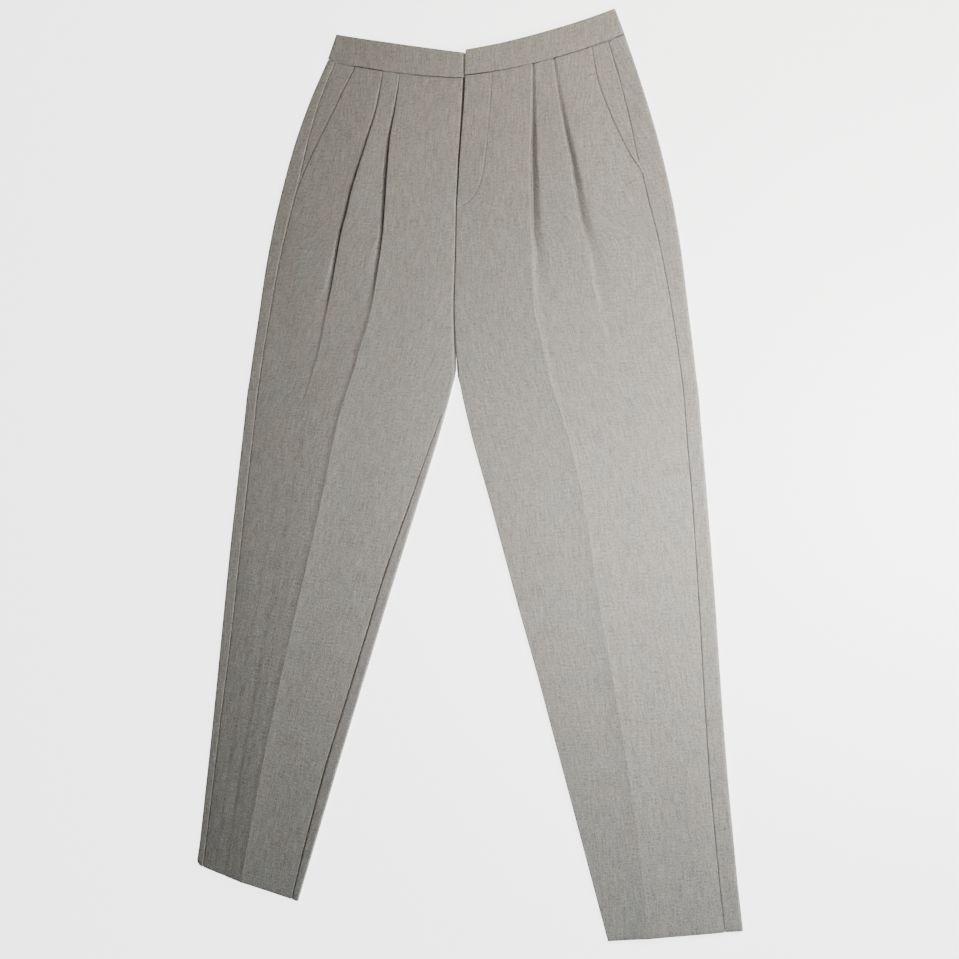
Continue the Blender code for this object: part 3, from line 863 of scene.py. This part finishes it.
def make_stitches(side, material, tree):
    """Tacks across both ends of the pocket, and the fly's row on the wearer's left."""
    top = surface_of(panel_grid(front_section, side, section_rows(ROW_STEP), 1, True, False, True))
    paths = []
    if side > 0:
        paths.append(laid_on(top, fly_line(120)[2:-6], 0.02))
    for row in rows_at(side, np.array([TACK_DOWN, DOWN["pocket low"] + TACK_PAST])):
        edge = row.outline.x_out - row.leg.side - row.open_width
        bar = []
        for x in np.linspace(edge - 4.6, edge - 1.4, 5):
            bar.append((side * x, across(row, x, side)))
        paths += [laid_on(top, [(x, y + gap) for x, y in bar], 0.05) for gap in (0.0, 0.5, 1.0)]
    return sew(f"stitches_{WORDS[side]}", [path for path in paths if len(path) > 1], tree)


# ---------------------------------------------------------------------------- materials

def new_group(name, inputs, outputs):
    """A shader node group with named sockets; returns the tree and its two ends."""
    tree = bpy.data.node_groups.new(name, "ShaderNodeTree")
    for label, kind, value in inputs:
        socket = tree.interface.new_socket(label, in_out="INPUT", socket_type=kind)
        if value is not None:
            socket.default_value = value
    for label, kind in outputs:
        tree.interface.new_socket(label, in_out="OUTPUT", socket_type=kind)
    return tree, tree.nodes.new("NodeGroupInput"), tree.nodes.new("NodeGroupOutput")


def fill(tree, socket, value):
    """Link a socket to another one, or give it a value."""
    if isinstance(value, bpy.types.NodeSocket):
        tree.links.new(value, socket)
    else:
        socket.default_value = value


def math_node(tree, operation, *values):
    node = tree.nodes.new("ShaderNodeMath")
    node.operation = operation
    for socket, value in zip(node.inputs, values):
        fill(tree, socket, value)
    return node.outputs[0]


def weighted(tree, *terms):
    """The sum of (value, weight) terms."""
    total = None
    for value, weight in terms:
        term = math_node(tree, "MULTIPLY", value, weight)
        total = term if total is None else math_node(tree, "ADD", total, term)
    return total


def stretched(tree, vector, scale):
    node = tree.nodes.new("ShaderNodeVectorMath")
    node.operation = "MULTIPLY"
    tree.links.new(vector, node.inputs[0])
    node.inputs[1].default_value = scale
    return node.outputs[0]


def noise(tree, vector, scale, detail=2.0, rough=0.5):
    node = tree.nodes.new("ShaderNodeTexNoise")
    node.inputs["Scale"].default_value = 1.0
    node.inputs["Detail"].default_value = detail
    node.inputs["Roughness"].default_value = rough
    tree.links.new(stretched(tree, vector, scale), node.inputs["Vector"])
    return node.outputs["Fac"]


def ramp(tree, value, low, high):
    """0 below low, 1 above high, straight between."""
    node = tree.nodes.new("ShaderNodeMapRange")
    tree.links.new(value, node.inputs["Value"])
    node.inputs["From Min"].default_value = low
    node.inputs["From Max"].default_value = high
    return node.outputs["Result"]


def weave_group():
    """Plain weave: threads over and under each other. Vector is in metres of cloth."""
    tree, start, end = new_group(
        "plain weave",
        [("Vector", "NodeSocketVector", None), ("Threads", "NodeSocketFloat", 1500.0)],
        [("Height", "NodeSocketFloat")])
    wobble = noise(tree, start.outputs["Vector"], (90.0, 90.0, 1.0), 2.0)
    split = tree.nodes.new("ShaderNodeSeparateXYZ")
    tree.links.new(start.outputs["Vector"], split.inputs[0])
    waves = []
    for axis in ("X", "Y"):
        turns = math_node(tree, "MULTIPLY", split.outputs[axis], start.outputs["Threads"])
        turns = math_node(tree, "ADD", turns, math_node(tree, "MULTIPLY", wobble, 2.5))
        waves.append(math_node(tree, "SINE", math_node(tree, "MULTIPLY", turns, math.pi)))
    both = math_node(tree, "MULTIPLY", *waves)
    height = math_node(tree, "ADD", math_node(tree, "MULTIPLY", both, 0.5), 0.5)
    tree.links.new(height, end.inputs["Height"])
    return tree


def yarn_group():
    """Uneven yarns: long streaks along the warp, short ones across, and a few slubs."""
    tree, start, end = new_group(
        "uneven yarns",
        [("Vector", "NodeSocketVector", None)],
        [("Shade", "NodeSocketFloat"), ("Relief", "NodeSocketFloat"),
         ("Slub", "NodeSocketFloat"), ("Mottle", "NodeSocketFloat")])
    vector = start.outputs["Vector"]
    warp = noise(tree, vector, (560.0, 48.0, 1.0), 2.0, 0.55)
    fine = noise(tree, vector, (520.0, 400.0, 1.0), 2.0, 0.65)
    weft = noise(tree, vector, (70.0, 620.0, 1.0), 2.0, 0.55)
    broad = noise(tree, vector, (210.0, 60.0, 1.0), 2.0, 0.5)
    shade = weighted(tree, (warp, 0.29), (fine, 0.44), (weft, 0.17), (broad, 0.10))
    tree.links.new(ramp(tree, shade, 0.36, 0.64), end.inputs["Shade"])
    relief = weighted(tree, (fine, 0.65), (weft, 0.35))
    tree.links.new(ramp(tree, relief, 0.36, 0.64), end.inputs["Relief"])
    dark = noise(tree, vector, (300.0, 120.0, 1.0), 1.0)
    tree.links.new(ramp(tree, dark, 0.74, 0.82), end.inputs["Slub"])
    tree.links.new(noise(tree, vector, (36.0, 17.0, 1.0), 3.0, 0.6), end.inputs["Mottle"])
    return tree


def line_group():
    """The pressed line round the fly: Vector's X is the distance outside it, in metres."""
    tree, start, end = new_group("pressed line", [("Vector", "NodeSocketVector", None)],
                                 [("Height", "NodeSocketFloat")])
    split = tree.nodes.new("ShaderNodeSeparateXYZ")
    tree.links.new(start.outputs["Vector"], split.inputs[0])
    step = ramp(tree, split.outputs["X"], 0.0008, -0.0008)
    away = math_node(tree, "ABSOLUTE", split.outputs["X"])
    ditch = ramp(tree, away, 0.0014, 0.0)
    tree.links.new(weighted(tree, (step, 1.1), (ditch, -1.0)), end.inputs["Height"])
    return tree


def mixed(tree, factor, a, b):
    node = tree.nodes.new("ShaderNodeMix")
    node.data_type = "RGBA"
    tree.links.new(factor, node.inputs["Factor"])
    fill(tree, node.inputs[6], a)
    fill(tree, node.inputs[7], b)
    return node.outputs[2]


def tinted(colour, red, green, blue):
    return (colour[0] * red, colour[1] * green, colour[2] * blue, 1.0)


def place(tree, group, **links):
    node = tree.nodes.new("ShaderNodeGroup")
    node.node_tree = group
    for label, source in links.items():
        fill(tree, node.inputs[label], source)
    return node


def new_material(name):
    """A node material, its tree and its shader."""
    material = bpy.data.materials.new(name)
    material.use_nodes = True
    return material, material.node_tree, material.node_tree.nodes["Principled BSDF"]


def bump(tree, height, distance, under=None):
    """A bump on the surface, or on the one that another bump gives."""
    node = tree.nodes.new("ShaderNodeBump")
    node.inputs["Distance"].default_value = distance
    node.inputs["Strength"].default_value = 1.0
    tree.links.new(height, node.inputs["Height"])
    if under:
        tree.links.new(under, node.inputs["Normal"])
    return node.outputs[0]


def woven_material(name, colour, groups, threads=1500.0, contrast=0.4, depth=0.2):
    """Matt woven cloth, on the piece's own cloth coordinates."""
    material, tree, shader = new_material(name)
    shader.inputs["Metallic"].default_value = 0.0
    shader.inputs["Specular IOR Level"].default_value = 0.25
    shader.inputs["Sheen Weight"].default_value = 0.12
    shader.inputs["Sheen Roughness"].default_value = 0.5
    cloth_map = tree.nodes.new("ShaderNodeUVMap")
    cloth_map.uv_map = "cloth"
    yarns = place(tree, groups["yarn"], Vector=cloth_map.outputs[0])
    weave = place(tree, groups["weave"], Vector=cloth_map.outputs[0], Threads=threads)
    ends = [tinted(colour, *[1 + way * contrast] * 3) for way in (-1, 1)]
    base = mixed(tree, yarns.outputs["Shade"], *ends)
    warmth = ramp(tree, yarns.outputs["Mottle"], 0.35, 0.65)
    toned = tree.nodes.new("ShaderNodeMix")
    toned.data_type = "RGBA"
    toned.blend_type = "MULTIPLY"
    toned.inputs["Factor"].default_value = 1.0
    tree.links.new(base, toned.inputs[6])
    tones = mixed(tree, warmth, (1.025, 0.995, 0.97, 1.0), (0.985, 1.005, 1.02, 1.0))
    tree.links.new(tones, toned.inputs[7])
    specked = mixed(tree, math_node(tree, "MULTIPLY", yarns.outputs["Slub"], 0.5),
                    toned.outputs[2], tinted(colour, 0.62, 0.6, 0.58))
    tree.links.new(specked, shader.inputs["Base Color"])
    rough = math_node(tree, "ADD", math_node(tree, "MULTIPLY", yarns.outputs["Shade"], -0.1), 0.9)
    tree.links.new(rough, shader.inputs["Roughness"])
    height = math_node(tree, "ADD", weave.outputs["Height"],
                       math_node(tree, "MULTIPLY", yarns.outputs["Relief"], 1.3))
    relief = bump(tree, height, depth * MM)
    line_map = tree.nodes.new("ShaderNodeUVMap")
    line_map.uv_map = "fly line"
    line = place(tree, groups["line"], Vector=line_map.outputs[0])
    tree.links.new(bump(tree, line.outputs["Height"], MM, relief), shader.inputs["Normal"])
    return material


def thread_material():
    """Twisted sewing thread, a shade darker than the cloth."""
    material, tree, shader = new_material("sewing_thread")
    place_map = tree.nodes.new("ShaderNodeTexCoord")
    twist = noise(tree, place_map.outputs["Object"], (2600.0, 2600.0, 2600.0), 1.0)
    shades = tinted(GREIGE, 0.7, 0.69, 0.68), tinted(GREIGE, 0.98, 0.97, 0.96)
    tree.links.new(mixed(tree, twist, *shades), shader.inputs["Base Color"])
    shader.inputs["Roughness"].default_value = 0.6
    return material


def floor_material():
    material, tree, shader = new_material("pale_floor")
    place_map = tree.nodes.new("ShaderNodeTexCoord")
    grain = noise(tree, place_map.outputs["Object"], (6.0, 6.0, 6.0), 2.0)
    tree.links.new(mixed(tree, grain, (0.84, 0.84, 0.84, 1.0), (0.88, 0.88, 0.88, 1.0)),
                   shader.inputs["Base Color"])
    shader.inputs["Roughness"].default_value = 0.9
    shader.inputs["Emission Color"].default_value = (1.0, 1.0, 1.0, 1.0)
    shader.inputs["Emission Strength"].default_value = FLOOR_GLOW
    return material


# ----------------------------------------------------------------------- light and view

def hang(lamp):
    """A round soft lamp; the camera sees its light and not the lamp."""
    data = bpy.data.lights.new(lamp.name, "POINT")
    data.shadow_soft_size = lamp.radius
    data.energy = lamp.power
    data.color = lamp.colour
    light = link(lamp.name, data)
    light.location = lamp.place
    light.visible_camera = False


def make_studio():
    for values in LAMPS:
        hang(values)
    world = bpy.data.worlds.new("studio")
    world.use_nodes = True
    back = world.node_tree.nodes["Background"]
    back.inputs["Color"].default_value = (0.88, 0.95, 1.0, 1.0)
    back.inputs["Strength"].default_value = 0.07
    bpy.context.scene.world = world
    mesh = bpy.data.meshes.new("floor")
    corners = [(-1, -1), (1, -1), (1, 1), (-1, 1)]
    mesh.from_pydata([(FLOOR_HALF * x, FLOOR_HALF * y, 0) for x, y in corners], [], [(0, 1, 2, 3)])
    mesh.transform(Matrix.Translation((0, 0, -0.0002)))
    floor = link("floor", mesh, floor_material())


def make_camera():
    """Above the trousers and towards the wearer's left, tilted a little to one side."""
    data = bpy.data.cameras.new("camera")
    data.lens = 45.0
    data.sensor_width = 36.0
    data.clip_start = 0.01
    camera = link("camera", data)
    right = Vector(CAMERA_RIGHT).normalized()
    back = right.cross(Vector(CAMERA_UP)).normalized()
    up = back.cross(right)
    turn = Matrix((right, up, back)).transposed().to_4x4()
    camera.matrix_world = Matrix.Translation(CAMERA_PLACE) @ turn
    bpy.context.scene.camera = camera


# ----------------------------------------------------------------------- the whole thing

def finish_piece(piece, node):
    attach(piece, BODY)
    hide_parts(node)


def build():
    groups = {"weave": weave_group(), "yarn": yarn_group(), "line": line_group()}
    suiting = woven_material("suiting", GREIGE, groups)
    tape = woven_material("zip_tape_weave", TAPE_COLOUR, groups, threads=2200.0, contrast=0.05)
    # The fly shield's cloth is painted shade: about a third of the suiting's colour, so that the slit
    # over it reads dark.
    dark = woven_material("fly_shield_painted_shade", tinted(GREIGE, 0.35, 0.32, 0.3), groups)
    thread = thread_material()
    sewing = stitch_tree(thread)
    for side, word in WORDS.items():
        front = make_front(side, suiting)
        back = make_back(side, suiting)
        facing = make_facing(side, suiting)
        band = make_band(side, suiting)
        finish_piece(back, f"back_{word}")
        finish_piece(front, f"front_{word}")
        finish_piece(facing, f"pocket_facing_{word}")
        finish_piece(band, f"waistband_{word}")
        stitches = make_stitches(side, thread, sewing)
        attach(stitches, BODY)
    # The shield under the centre slit wears the painted-shade cloth.
    shield = fly_strip("fly_shield_cloth", (-8.0, 34.0), 1.5, FLY_FOOT + 4.0, dark)
    finish_piece(shield, "fly_shield")
    zip_tape = fly_strip("zip_tape_cloth", (3.6, 13.6), 2.6, FLY_FOOT + 8.0, tape)
    finish_piece(zip_tape, "zip_tape")
    make_studio()
    make_camera()


build()
